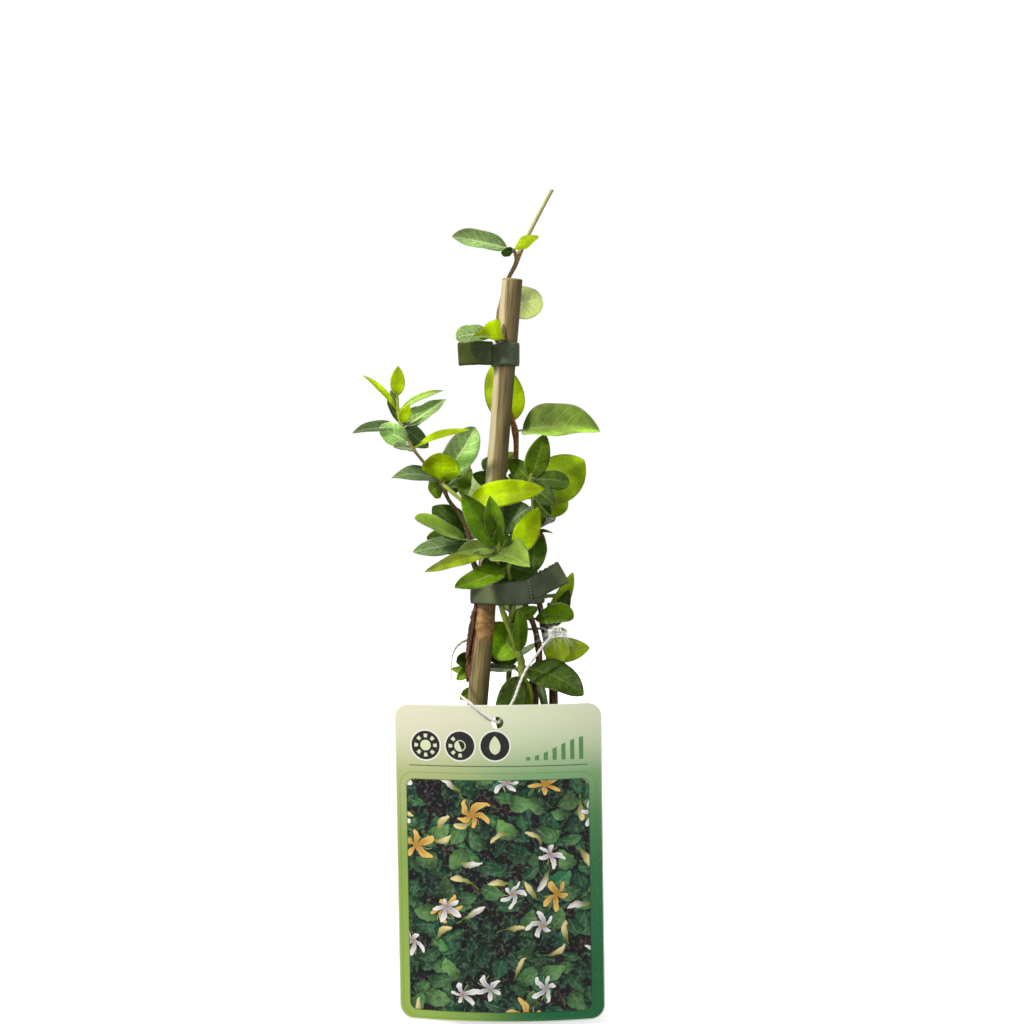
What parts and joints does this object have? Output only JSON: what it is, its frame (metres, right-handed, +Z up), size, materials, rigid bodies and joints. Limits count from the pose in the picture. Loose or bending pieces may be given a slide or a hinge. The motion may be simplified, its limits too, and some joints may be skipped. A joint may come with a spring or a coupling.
{
  "type": "potted honeysuckle vine on a cane",
  "caption": "Young climbing honeysuckle tied to a bamboo cane in a round nursery pot, with a large bowed care label hung on a string in front of it.",
  "frame": {"origin": "centre of the underside of the pot, on the surface that it stands on", "axes": "+Z up along the plant, -Y towards the side where the care label hangs, +X to the right when facing the label"},
  "size_m": [0.1182, 0.1027, 0.3869],
  "materials": {
    "pot_plastic": "thin moulded black polypropylene, slightly satin, with a turned-out rim band",
    "soil": "moist dark peat compost with fine crumbs, bark fibres and a few white perlite grains",
    "bamboo": "dry weathered bamboo, fine lengthwise fibres, cream on the lit side and brown at the growth ring",
    "foliage": "downy leaves from dark green to yellow-green with pale veins and margins, on thin hairy green stems and peeling brown bark",
    "tie_tape": "smooth grey-green vinyl tying tape with a dull sheen",
    "label_card": null,
    "string": "thin white twisted thread, frayed at the knot"
  },
  "bodies": {
    "root": {"pot": "pot_plastic", "soil": "soil", "bamboo_cane": "bamboo", "vine_climbing_stem": "foliage", "vine_left_branch": "foliage", "vine_front_shoot": "foliage", "vine_right_shoot": "foliage", "vine_back_shoot": "foliage", "tie_upper": "tie_tape", "tie_lower": "tie_tape", "label": "label_card", "label_string": "string", "string_knot": "string"}
  },
  "joints": []
}
